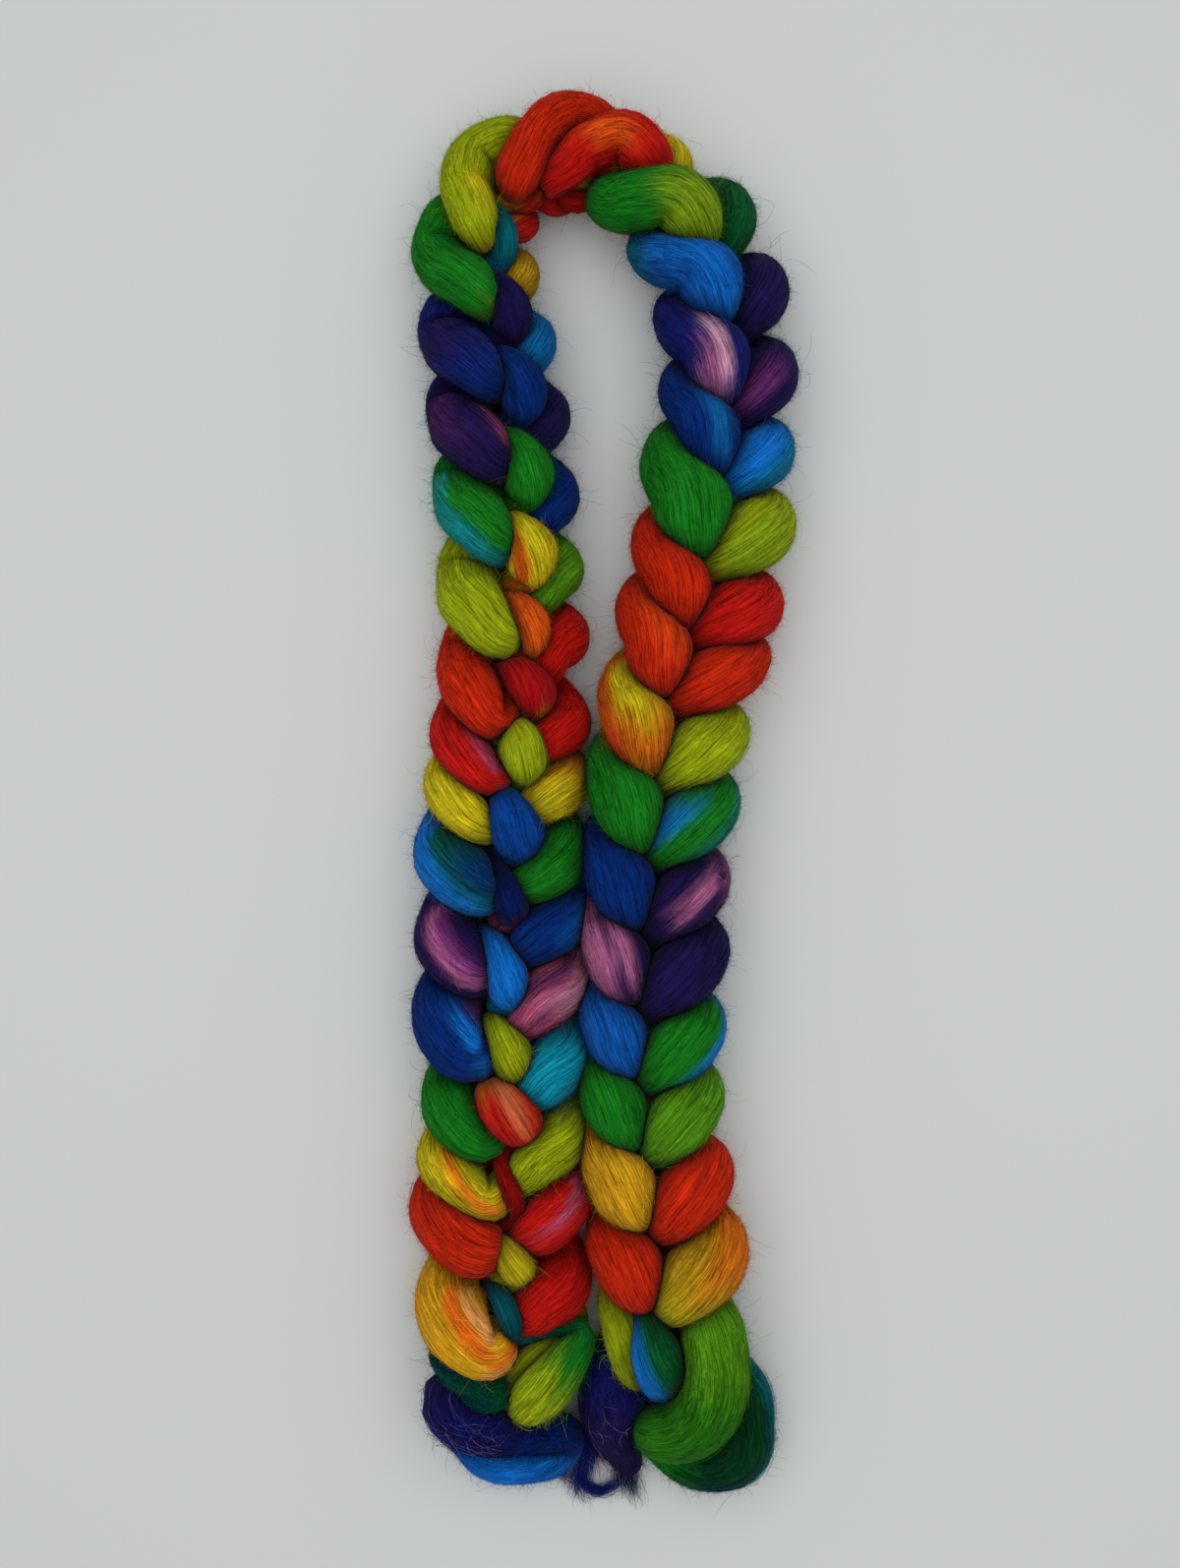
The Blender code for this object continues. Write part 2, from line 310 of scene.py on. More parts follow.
accentRows = (
    # stitch, part, how far along, over, side as seen from above, width, dye, strength
    (8, "start", -3, 22, -0.62, 0.46, "sky", 0.95),
    (11, "start", 8, 24, 1.0, 0.24, "teal", 0.90),
    (13, "start", 0, 14, 0.9, 0.30, "navy", 0.60),
    (1, "finish", 4, 16, -0.8, 0.30, "lime", 0.50),
    (2, "R", 10, 16, 0.5, 0.60, "orange", 0.70),
    (2, "R", -18, 9, 0.0, 1.60, "lime", 0.60),
    (3, "L", -12, 10, 0.0, 1.60, "orange", 0.45),
    (5, "R", 6, 16, 0.95, 0.30, "sky", 0.90),
    (6, "L", 0, 20, -0.55, 0.36, "pink", 0.80),
    (6, "L", 9, 10, 0.2, 0.22, "pink", 0.75),
    (7, "R", -3, 8, 0.2, 0.24, "pink", 0.70),
    (7, "R", 12, 8, 0.8, 0.20, "pink", 0.40),
    (8, "R", -13, 9, -0.4, 0.38, "sky", 0.85),
    (8, "R", 4, 18, 0.95, 0.25, "teal", 0.85),
    (9, "L", 0, 26, -0.85, 0.35, "orange red", 0.85),
    (9, "L", 16, 9, 0.0, 1.60, "orange red", 0.80),
    (10, "L", 2, 12, 0.2, 0.50, "orange", 0.30),
    (12, "R", -6, 9, 0.4, 0.50, "green", 0.35),
    (13, "R", 0, 20, 0.8, 0.35, "teal", 0.85),
    (13, "L", 10, 12, 0.35, 0.28, "teal blue", 0.75),
    (14, "L", 9, 9, 0.15, 0.18, "pale pink", 0.80),
    (14, "L", 15, 8, -0.2, 0.40, "pink", 0.55),
    (14, "R", -12, 9, 0.0, 0.50, "plum", 0.60),
    (15, "L", -22, 9, 0.0, 1.60, "teal", 0.80),
    (15, "L", 0, 20, 0.2, 0.50, "sky", 0.70),
    (16, "L", 19, 14, 0.0, 1.60, "lime", 0.60),
    (17, "L", 2, 10, 0.0, 0.50, "orange", 0.85),
    (18, "L", 8, 18, -0.4, 0.40, "orange red", 0.60),
    (19, "L", -22, 8, 0.0, 1.60, "orange", 0.30),
    (19, "L", 4, 10, 0.5, 0.40, "yellow", 0.80),
    (21, "L", 14, 14, 0.0, 1.60, "violet", 0.80),
    (21, "L", -12, 12, 0.0, 1.60, "blue", 0.70),
    (22, "L", -12, 12, 0.75, 0.25, "rose", 0.80),
    (22, "L", 12, 12, -0.4, 0.50, "plum", 0.20),
    (23, "L", 0, 22, -0.75, 0.35, "cyan", 0.60),
    (23, "L", -18, 9, 0.9, 0.35, "sky", 0.80),
    (24, "C", 4, 14, -0.3, 0.30, "orange red", 0.85),
    (24, "L", -8, 10, 0.5, 0.50, "lime", 0.60),
    (25, "L", -4, 10, 0.4, 0.50, "orange red", 0.50),
    (26, "L", -10, 12, 0.5, 0.20, "rose", 0.80),
    (27, "R", -5, 9, 0.0, 1.60, "orange red", 0.70),
    (28, "L", 8, 22, -0.7, 0.42, "sky", 0.90),
    (28, "L", -14, 13, 0.4, 0.60, "blue", 0.85),
    (29, "L", 0, 24, -0.15, 0.38, "plum", 0.95),
    (29, "L", -4, 16, -0.35, 0.16, "pink", 0.60),
    (29, "R", -2, 9, 0.6, 0.50, "sky", 0.50),
    (30, "L", -10, 14, 0.3, 0.22, "sky", 0.80),
    (30, "L", -4, 18, 0.9, 0.30, "plum", 0.60),
    (30, "R", 0, 18, -0.2, 0.16, "violet", 0.85),
    (30, "R", 10, 9, 0.5, 0.16, "violet", 0.60),
    (30, "R", -3, 12, 0.5, 0.40, "pale pink", 0.60),
    (32, "C", -4, 7, 0.3, 0.28, "peach", 0.40),
    (32, "L", -6, 18, 0.1, 0.22, "orange", 0.85),
    (32, "L", -6, 16, 0.75, 0.30, "lime", 0.60),
    (33, "R", 0, 13, 0.2, 0.16, "pink", 0.65),
    (34, "L", -8, 22, 0.2, 0.24, "orange", 0.90),
    (34, "L", -8, 17, 0.62, 0.15, "peach", 0.90),
    (35, "R", 8, 9, 0.4, 0.60, "green", 0.70),
)
partRows = {  # which row of a stitch shows from above: on the right arm, on the left arm
    "R": (2.5, 4.0),
    "L": (9.5, 8.0),
    "C": (14.0, 14.0),
}
leftArmFrom = 18  # the first stitch that counts as on the left arm


def linear(colour):
    c = np.asarray(colour, float) / 255
    return np.where(c <= 0.04045, c / 12.92, ((c + 0.055) / 1.055) ** 2.4)


waves = {
    # how strong, how many times round the strand, over what lengths
    "lumps": (0.045, (2, 3, 1), (60, 45, 38)),
    "locks": (0.009, (6, 8, 11), (90, 70, 120)),
    "slowEdge": (4.0, (1, 2, 3), (90, 70, 60)),  # where one dye gives way to the next, in mm
    "quickEdge": (3.0, (5, 7, 9), (60, 50, 40)),
    "sideEdge": (0.10, (3, 5, 7), (50, 35, 28)),
}
wavePace = (0.7, 1.3)  # how much a wave's length varies
waveBeat = 3.7  # how fast the waves swell and fade


def wave(kind, seed, angle, distance):
    # smooth noise over a strand, which closes on itself round the strand
    strength, turns, lengthsOver = waves[kind]
    rng = np.random.default_rng(seed)
    total = np.zeros(np.broadcast(angle, distance).shape)
    for turn, length in zip(turns, lengthsOver):
        phase, drift = rng.uniform(0, 2 * math.pi, 2)
        pace = rng.uniform(*wavePace) / length
        ripple = np.sin(turn * angle + distance * pace * 2 * math.pi + phase)
        total += ripple * np.sin(distance * pace * waveBeat + drift)
    return strength * (total / math.sqrt(len(turns)))


strand = {
    "step": 2.5,  # between two sections
    "sides": 30,
    "gap": 0.5,  # between turns that press on each other
    "shoulder": 4.0,  # how softly a turn rounds into its neighbour
    "shoulderShare": 0.4,  # and at most this share of the girth
    "floorShoulder": 3.0,
    "softenRounds": 3,
    "lumpSeed": 3,
    "lockSeed": 5,
    "within": 4.0,  # turns whose sides are further apart than this don't press on each other
    "ownBend": 1.5,  # the roving within this many girths is the same bend, not another turn
    "selfSkip": 1.5,  # nearer along than this it is the section itself
    "bendFill": 0.93,  # how far into the inside of its own bend a section swells
    "leastReach": 0.8,
    "openFrom": 0.92,  # a side that reaches this share of its girth starts to be open
    "openOver": 0.15,
    "clearFrom": 0.97,
    "creaseOver": 5.0,  # how far from its neighbour a turn is still darkened by the painted crease shade
    # the darkest share of the painted crease shade, deep in a crease
    "creaseShade": 0.36,
    "dyeChange": 5.0,
    "dyeSeed": 11,
    "dyeAheadSeed": 31,
    "dyeAhead": 4.0,  # how far the two sets of dyes lie apart along the roving
    "twist": 900.0,  # one turn of the fibres in this length
    "fibreRadius": 14.0,  # of the rod of fibres that the streaks are read from
}
farAway = 1e3


def softLeast(a, b, over):
    near = np.maximum(over - np.abs(a - b), 0.0) / over
    return np.minimum(a, b) - near * near * over / 4


def blurred(field, rounds=2):
    for _ in range(rounds):
        field = (np.roll(field, 1, 1) + 2 * field + np.roll(field, -1, 1)) / 4
        padded = np.vstack([field[:1], field, field[-1:]])
        field = (padded[:-2] + 2 * padded[1:-1] + padded[2:]) / 4
    return field


def plateau(x):
    return np.exp(-(x**4))


class Strand:
    # the roving's sections, each pressed flat where it meets another turn or the table

    def __init__(self, shape):
        rows, self.rowDyes = rovingRoute()
        fine = curveThrough(rows)
        at = lengths(fine[:, :3])
        self.shape = shape
        self.rowAt = at[:: chain["curveSteps"]]
        count = int(at[-1] / shape["step"])
        self.at = np.linspace(0.0, at[-1], count)
        sections = np.column_stack([np.interp(self.at, at, column) for column in fine.T])
        self.centres = sections[:, :3]
        self.girths = sections[:, 3]
        self.tangents = unit(np.gradient(self.centres, axis=0))
        self.angles = np.arange(shape["sides"]) * 2 * math.pi / shape["sides"]
        self.frames()
        self.press()

    def frames(self):
        normal = np.cross(self.tangents[0], [0.0, 0.0, 1.0])
        normals = []
        for tangent in self.tangents:
            normal = unit(normal - tangent * (normal @ tangent))
            normals.append(normal)
        normals = np.array(normals)
        binormals = np.cross(self.tangents, normals)
        turn = self.angles[None, :, None]
        self.out = np.cos(turn) * normals[:, None] + np.sin(turn) * binormals[:, None]

    def roomFor(self, i, pick):
        # how far each side of a section can go before it meets another turn, and its own bend:
        # there its place is as many girths from its own centre as from the other one
        shape = self.shape
        own = self.girths[i]
        away = self.centres[i] - self.centres[pick]
        along = np.abs(self.at[pick] - self.at[i])
        touching = np.linalg.norm(away, axis=1) < own + self.girths[pick] + shape["within"]
        close = touching & (along > shape["selfSkip"])
        away = away[close]
        others = along[close] > shape["ownBend"] * own
        ratio = np.where(others, (self.girths[pick][close] / own) ** 2, 1.0)
        b = 2 * self.out[i] @ away.T
        c = np.sum(away * away, axis=1)[None]
        a = (1 - ratio)[None] + np.zeros_like(b)
        inside = b * b - 4 * a * c
        root = np.sqrt(np.maximum(inside, 0))
        q = -0.5 * (b + np.where(b >= 0, root, -root))
        with np.errstate(divide="ignore", invalid="ignore"):
            first = np.where(np.abs(a) > 1e-6, q / a, np.inf)
            second = np.where(np.abs(q) > 1e-9, c / q, np.inf)
        first = np.where((first > 0) & (inside >= 0), first, np.inf)
        second = np.where((second > 0) & (inside >= 0), second, np.inf)
        meets = np.minimum(first, second)
        limit = meets[:, others].min(axis=1, initial=farAway) - shape["gap"] / 2
        fold = meets[:, ~others].min(axis=1, initial=farAway) * shape["bendFill"]
        return limit, fold

    def press(self):
        shape = self.shape
        pick = np.arange(0, len(self.at), 2)
        angle = self.angles[None]
        distance = self.at[:, None]
        lumps = 1 + wave("lumps", shape["lumpSeed"], angle, distance)
        lumps += wave("locks", shape["lockSeed"], angle, distance)
        reach = np.zeros((len(self.at), shape["sides"]))
        pressed = np.zeros_like(reach)
        free = np.zeros_like(reach)
        clear = np.zeros_like(reach)
        for i in range(len(self.at)):
            limit, fold = self.roomFor(i, pick)
            full = self.girths[i] * lumps[i]
            soft = min(shape["shoulder"], self.girths[i] * shape["shoulderShare"])
            down = -self.out[i][:, 2]
            table = np.where(down > 1e-3, self.centres[i, 2] / np.maximum(down, 1e-3), farAway)
            pressed[i] = softLeast(softLeast(full, limit, soft), table, shape["floorShoulder"])
            reach[i] = softLeast(pressed[i], fold, soft)
            limit = np.minimum(limit, fold)
            share = np.minimum(limit, table) / full
            free[i] = np.clip((share - shape["openFrom"]) / shape["openOver"], 0, 1)
            clear[i] = np.clip((limit - full * shape["clearFrom"]) / shape["creaseOver"], 0, 1)
        # painted shade: the colour is darkened where a turn presses on its neighbour, for the shade in
        # the crease
        self.shade = shape["creaseShade"] + (1 - shape["creaseShade"]) * blurred(clear)
        reach = np.minimum(pressed, blurred(reach, shape["softenRounds"]))
        self.reach = np.maximum(reach, shape["leastReach"])
        self.free = free
        self.points = self.centres[:, None] + self.out * self.reach[..., None]
        self.points[..., 2] = np.maximum(self.points[..., 2], 0.0)

    def seenSide(self):
        # -1 at the left edge of the strand as seen from above, 1 at the right edge
        across = unit(np.cross(self.tangents, [0.0, 0.0, 1.0]))
        across *= np.where(across[:, :1] < 0, -1, 1)
        return np.einsum("ijk,ik->ij", self.out, across) * self.reach / self.girths[:, None]

    def placeOf(self, stitch, part):
        perStitch = len(rightLegRows) + 1 + len(leftLegRows) + len(bumpRows)
        first = len(startRows) + (stitch - 1) * perStitch - (len(rightLegRows) - 1)
        if part == "start":
            row = stitch
        elif part == "finish":
            row = len(self.rowAt) - len(finishRows) + stitch
        else:
            row = first + partRows[part][stitch >= leftArmFrom]
        return np.interp(row, np.arange(len(self.rowAt)), self.rowAt)

    def colour(self, seed, ahead):
        # the dye at every point, darkened by the painted crease shade: its edges run unevenly along the
        # fibres
        at = []
        named = []
        change = self.shape["dyeChange"]
        for i, dye in enumerate(self.rowDyes):
            if dye is None:  # the top of the arch, where one leg's dye gives way to the other's
                at += [self.rowAt[i] - change, self.rowAt[i] + change]
                named += [linear(dyes[self.rowDyes[i - 1]]), linear(dyes[self.rowDyes[i + 1]])]
            else:
                at.append(self.rowAt[i])
                named.append(linear(dyes[dye]))
        named = np.array(named)
        angle = self.angles[None]
        distance = self.at[:, None]
        uneven = wave("slowEdge", seed, angle, distance)
        uneven += wave("quickEdge", seed + 1, angle, distance)
        moved = distance + ahead + uneven
        colours = np.stack([np.interp(moved, at, c) for c in named.T], axis=-1)
        side = self.seenSide() + wave("sideEdge", seed + 2, angle, distance)
        for stitch, part, along, over, where, width, dye, strength in accentRows:
            away = (distance + uneven - self.placeOf(stitch, part) - along) / over
            mask = strength * plateau(away) * plateau((side - where) / width)
            colours += mask[..., None] * (linear(dyes[dye]) - colours)
        # painted shade: the crease darkening is multiplied into the dye
        return colours * self.shade[..., None]


roving = Strand(strand)
cornersOf = roving.points.reshape(-1, 3)
middle = (cornersOf.min(axis=0) + cornersOf.max(axis=0)) / 2
shift = np.array([*((np.array(cadLow) + np.array(cadHigh))[:2] / 2 / mm - middle[:2]), 0.0])
# the dyes with the painted crease shade in them, for the roving and the hairs that grow from it
dyeWithPaintedShade = roving.colour(strand["dyeSeed"], -strand["dyeAhead"])
dyeAheadWithPaintedShade = roving.colour(strand["dyeAheadSeed"], strand["dyeAhead"])
print("strand", round(float(roving.at[-1])), "mm", len(roving.at), "sections")

bake = {
    "map": "OFBake",  # the map that the colours are laid out on for baking
    "strips": 9,  # the strand lies on it straight, cut into this many strips
    "endMargin": 0.005,
    "sideMargin": 0.02,
    "capSpot": ((0.002, 0.001), (0.004, 0.001), (0.003, 0.003)),
    "hairMargin": 0.15,
}


def meshOf(name, places, quads, triangles, corners):
    # places in millimetres; corners holds a place on the bake map for each corner of the faces
    mesh = bpy.data.meshes.new(name)
    used = np.concatenate([quads.ravel(), triangles.ravel()]).astype(np.int32)
    counts = np.r_[np.full(len(quads), 4), np.full(len(triangles), 3)]
    mesh.vertices.add(len(places))
    mesh.vertices.foreach_set("co", ((places + shift) * mm).astype(np.float32).ravel())
    mesh.loops.add(len(used))
    mesh.loops.foreach_set("vertex_index", used)
    mesh.polygons.add(len(counts))
    mesh.polygons.foreach_set("loop_start", np.r_[0, np.cumsum(counts)[:-1]].astype(np.int32))
    mesh.update(calc_edges=True)
    layer = mesh.uv_layers.new(name=bake["map"])
    layer.uv.foreach_set("vector", corners.astype(np.float32).ravel())
    mesh.shade_smooth()
    return mesh


def addAttribute(mesh, name, kind, values):
    attribute = mesh.attributes.new(name, kind, "POINT")
    field = "color" if kind == "FLOAT_COLOR" else "vector"
    attribute.data.foreach_set(field, np.ascontiguousarray(values, np.float32).ravel())


def withAlpha(colours):
    return np.concatenate([colours, np.ones((*colours.shape[:-1], 1))], axis=-1)


def addPiece(mesh, material):
    mesh.materials.append(material)
    piece = bpy.data.objects.new(mesh.name, mesh)
    bpy.context.scene.collection.objects.link(piece)
    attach(piece, "root")
    return piece


def strandMesh():
    rings, sides = roving.points.shape[:2]
    index = np.arange(rings * sides).reshape(rings, sides)
    after = np.roll(index, -1, axis=1)
    quads = np.stack([index[:-1], after[:-1], after[1:], index[1:]], axis=-1).reshape(-1, 4)
    tips = rings * sides + np.array([0, 1])
    firstCap = np.stack([np.full(sides, tips[0]), after[0], index[0]], axis=-1)
    lastCap = np.stack([np.full(sides, tips[1]), index[-1], after[-1]], axis=-1)
    strips = bake["strips"]
    perStrip = math.ceil((rings - 1) / strips)
    i, k = np.meshgrid(np.arange(rings - 1), np.arange(sides), indexing="ij")
    strip = i // perStrip
    u = (i - strip * perStrip)[..., None] + np.array([0, 0, 1, 1])
    v = k[..., None] + np.array([0, 1, 1, 0])
    alongStrip = bake["endMargin"] + (1 - 2 * bake["endMargin"]) * u / perStrip
    acrossStrip = bake["sideMargin"] + (1 - 2 * bake["sideMargin"]) * v / sides
    quadMap = np.stack([alongStrip, (strip[..., None] + acrossStrip) / strips], axis=-1)
    capMap = np.tile(bake["capSpot"], (2 * sides, 1))
    corners = np.vstack([quadMap.reshape(-1, 2), capMap])
    places = np.vstack([roving.points.reshape(-1, 3), roving.centres[[0, -1]]])
    mesh = meshOf("roving", places, quads, np.vstack([firstCap, lastCap]), corners)
    # both dye attributes carry the painted crease shade as well as the dyes
    for name, colour in (("dye", dyeWithPaintedShade), ("dyeAhead", dyeAheadWithPaintedShade)):
        both = np.vstack([colour.reshape(-1, 3), colour[0, :1], colour[-1, :1]])
        addAttribute(mesh, name, "FLOAT_COLOR", withAlpha(both))
    turned = roving.angles[None] + 2 * math.pi * roving.at[:, None] / strand["twist"]
    along = roving.at[:, None] + np.zeros((1, sides))
    radius = strand["fibreRadius"]
    fibre = np.stack([radius * np.cos(turned), radius * np.sin(turned), along], axis=-1)
    both = np.vstack([fibre.reshape(-1, 3), fibre[0, :1], fibre[-1, :1]])
    addAttribute(mesh, "alongFibre", "FLOAT_VECTOR", both)
    return mesh


class Wire:
    # an output of a node; arithmetic on it adds Math nodes
    def __init__(self, recipe, socket):
        self.recipe = recipe
        self.socket = socket

    def maths(self, operation, first, second):
        return self.recipe.add("ShaderNodeMath", {"operation": operation}, {0: first, 1: second})

    def __add__(self, other):
        return self.maths("ADD", self, other)

    def __radd__(self, other):
        return self.maths("ADD", other, self)

    def __sub__(self, other):
        return self.maths("SUBTRACT", self, other)

    def __rsub__(self, other):
        return self.maths("SUBTRACT", other, self)

    def __mul__(self, other):
        return self.maths("MULTIPLY", self, other)

    def __rmul__(self, other):
        return self.maths("MULTIPLY", other, self)


class Recipe:
    # a material and the one way that nodes are added to it
    def __init__(self, name):
        self.material = bpy.data.materials.new(name)
        self.material.use_nodes = True
        self.tree = self.material.node_tree
        self.shader = self.tree.nodes["Principled BSDF"]

    def plug(self, socket, value):
        if isinstance(value, Wire):
            self.tree.links.new(value.socket, socket)
        else:
            socket.default_value = value

    def add(self, kind, settings, sockets, output=0):
        node = self.tree.nodes.new(kind)
        for name, value in settings.items():
            setattr(node, name, value)
        for name, value in sockets.items():
            self.plug(node.inputs[name], value)
        return Wire(self, node.outputs[output])

    def mix(self, factor, first, second, blend="MIX"):
        settings = {"data_type": "RGBA", "blend_type": blend}
        return self.add("ShaderNodeMix", settings, {0: factor, 6: first, 7: second}, 2)

    def finish(self, **sockets):
        for name, value in sockets.items():
            self.plug(self.shader.inputs[name], value)
        return self.material


wool = {
    "roughness": 0.85,
    "sheen": 0.03,
    "sheenRoughness": 0.5,
    "specular": 0.04,
    "grain": (1.9, 1.9, 0.09),  # how fine the streaks are across and along, to the mm
    "grainDetail": 4.0,
    "grainRoughness": 0.62,
    "lockGrain": (0.60, 0.60, 0.025),
    "lockDetail": 3.0,
    "cloudGrain": (0.35, 0.35, 0.16),
    "cloudDetail": 4.0,
    "wanderGrain": (0.25, 0.25, 0.06),
    "wanderDetail": 2.0,
    "wander": (3.0, 3.0, 0.0),  # how far the streaks stray sideways
    "streakDepth": 0.95,
    "lockDepth": 0.22,
    "cloudDepth": 0.20,
    "blendFrom": 0.36,  # of the noise by which one dye gives way to the other
    "blendTo": 0.64,
    "bump": 0.40,
    "bumpDistance": 0.0010,
    "lockBump": 0.8,
}


def scaled(r, vector, scale):
    return r.add("ShaderNodeVectorMath", {"operation": "MULTIPLY"}, {0: vector, 1: scale})


def noise(r, vector, detail, roughness=0.5, output=0):
    sockets = {"Vector": vector, "Scale": 1.0, "Detail": detail, "Roughness": roughness}
    return r.add("ShaderNodeTexNoise", {}, sockets, output)


def around(field, depth):
    # noise keeps near its middle, so it is stretched
    return (field - 0.5) * (4 * depth)


def woolMaterial():
    r = Recipe("dyed combed wool")
    # the dye attributes hold the painted crease shade as well as the dyes
    dye = r.add("ShaderNodeAttribute", {"attribute_name": "dye"}, {})
    dyeAhead = r.add("ShaderNodeAttribute", {"attribute_name": "dyeAhead"}, {})
    fibre = r.add("ShaderNodeAttribute", {"attribute_name": "alongFibre"}, {}, "Vector")
    stray = noise(r, scaled(r, fibre, wool["wanderGrain"]), wool["wanderDetail"], output="Color")
    sockets = {0: stray, 1: wool["wander"], 2: fibre}
    swayed = r.add("ShaderNodeVectorMath", {"operation": "MULTIPLY_ADD"}, sockets)
    fine = noise(r, scaled(r, swayed, wool["grain"]), wool["grainDetail"], wool["grainRoughness"])
    broad = noise(r, scaled(r, swayed, wool["lockGrain"]), wool["lockDetail"])
    cloud = noise(r, scaled(r, fibre, wool["cloudGrain"]), wool["cloudDetail"])
    sockets = {
        "Value": fine * 0.5 + broad * 0.5,
        "From Min": wool["blendFrom"],
        "From Max": wool["blendTo"],
    }
    base = r.mix(r.add("ShaderNodeMapRange", {}, sockets), dye, dyeAhead)
    shade = 1.0 + around(fine, wool["streakDepth"]) + around(broad, wool["lockDepth"])
    shade = shade + around(cloud, wool["cloudDepth"])
    grey = r.add("ShaderNodeCombineColor", {}, {"Red": shade, "Green": shade, "Blue": shade})
    sockets = {
        "Strength": wool["bump"],
        "Distance": wool["bumpDistance"],
        "Height": fine + broad * wool["lockBump"],
    }
    return r.finish(
        **{
            "Base Color": r.mix(1.0, base, grey, "MULTIPLY"),
            "Roughness": wool["roughness"],
            "Specular IOR Level": wool["specular"],
            "Sheen Weight": wool["sheen"],
            "Sheen Roughness": wool["sheenRoughness"],
            "Normal": r.add("ShaderNodeBump", {}, sockets),
        }
    )


rovingPiece = addPiece(strandMesh(), woolMaterial())
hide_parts("roving_braid")
print("roving made", len(rovingPiece.data.polygons))

hairs = {  # what all the loose hairs share
    "within": 8.5,  # how far a hair may pass the box of the solid part
    "shyOf": 0.25,  # how near the table a hair may come
    "taper": 0.6,  # how much thinner a hair is at its ends than in its middle
    "roughness": 0.75,
    "specular": 0.03,
    "seed": 20,
    "tubeSeed": 7,
    "pointSeed": 8,
}
hairSides = 3


def ringRound(ahead, aside):
    # the corners of a hair's section round each of its places
    first = unit(np.cross(ahead, aside))
    second = np.cross(ahead, first)
    turns = np.arange(hairSides) * 2 * math.pi / hairSides
    first = first[..., None, :]
    second = second[..., None, :]
    return np.cos(turns)[:, None] * first + np.sin(turns)[:, None] * second


def spotsOnMap(count, at):
    # on the bake map each hair has a small square
    grid = math.ceil(math.sqrt(count))
    margin = bake["hairMargin"]
    cell = np.stack([np.arange(count) % grid, np.arange(count) // grid], axis=-1)[:, None]
    return (cell + margin + (1 - 2 * margin) * at[None]) / grid


def hairMesh(name, paths, radius, colours):
    # each hair is a three-sided tube that narrows to a point at both ends
    count, stops = paths.shape[:2]
    ahead = unit(np.gradient(paths, axis=1))
    ring = ringRound(ahead, np.random.default_rng(hairs["tubeSeed"]).normal(size=(count, 1, 3)))
    share = np.linspace(-1, 1, stops)
    thick = radius * (1 - hairs["taper"] * share**2)
    body = (paths[:, :, None] + ring * thick[:, None, None])[:, 1:-1]
    places = np.concatenate([paths[:, :1], body.reshape(count, -1, 3), paths[:, -1:]], axis=1)
    perHair = places.shape[1]
    k = np.arange(hairSides)
    after = (k + 1) % hairSides
    starts = 1 + hairSides * np.arange(stops - 3)[:, None]
    quads = [starts + k, starts + after, starts + hairSides + after, starts + hairSides + k]
    quads = np.stack(quads, axis=-1).reshape(-1, 4)
    last = perHair - 1 - hairSides
    triangles = np.concatenate(
        [
            np.stack([np.zeros(hairSides, int), 1 + after, 1 + k], axis=-1),
            np.stack([np.full(hairSides, perHair - 1), last + k, last + after], axis=-1),
        ]
    )
    down = np.repeat(np.arange(1, stops - 1), hairSides) / (stops - 1)
    across = np.tile(k / (hairSides - 1), stops - 2)
    spot = spotsOnMap(count, np.vstack([[0.5, 0.0], np.column_stack([across, down]), [0.5, 1.0]]))
    offset = (np.arange(count) * perHair)[:, None, None]
    corners = np.concatenate([spot[:, quads].reshape(-1, 2), spot[:, triangles].reshape(-1, 2)])
    mesh = meshOf(
        name,
        places.reshape(-1, 3),
        (quads[None] + offset).reshape(-1, 4),
        (triangles[None] + offset).reshape(-1, 3),
        corners,
    )
    # for hairs that grow from the strand this holds the painted crease shade with the dye
    addAttribute(mesh, "dye", "FLOAT_COLOR", withAlpha(np.repeat(colours, perHair, axis=0)))
    return mesh


def pointMesh(name, roots, tips, radius, colours):
    # each hair is a slender straight point with a three-sided root
    count = len(roots)
    aside = np.random.default_rng(hairs["pointSeed"]).normal(size=(count, 3))
    ring = ringRound(unit(tips - roots), aside)
    places = np.concatenate([roots[:, None] + ring * radius, tips[:, None]], axis=1)
    places[..., 2] = np.maximum(places[..., 2], 0.0)
    perHair = places.shape[1]
    faces = np.array([[0, 1, 3], [1, 2, 3], [2, 0, 3], [2, 1, 0]])
    spot = spotsOnMap(count, np.array([[0.0, 0.0], [0.5, 0.1], [1.0, 0.0], [0.5, 1.0]]))
    triangles = (faces[None] + (np.arange(count) * perHair)[:, None, None]).reshape(-1, 3)
    quads = np.zeros((0, 4), int)
    mesh = meshOf(name, places.reshape(-1, 3), quads, triangles, spot[:, faces].reshape(-1, 2))
    # for hairs that grow from the strand this holds the painted crease shade with the dye
    addAttribute(mesh, "dye", "FLOAT_COLOR", withAlpha(np.repeat(colours, perHair, axis=0)))
    return mesh


def hairMaterial():
    r = Recipe("loose wool fibre")
    # the dye attribute holds the painted crease shade for hairs that grow from the strand
    dye = r.add("ShaderNodeAttribute", {"attribute_name": "dye"}, {})
    return r.finish(
        **{
            "Base Color": dye,
            "Roughness": hairs["roughness"],
            "Specular IOR Level": hairs["specular"],
        }
    )


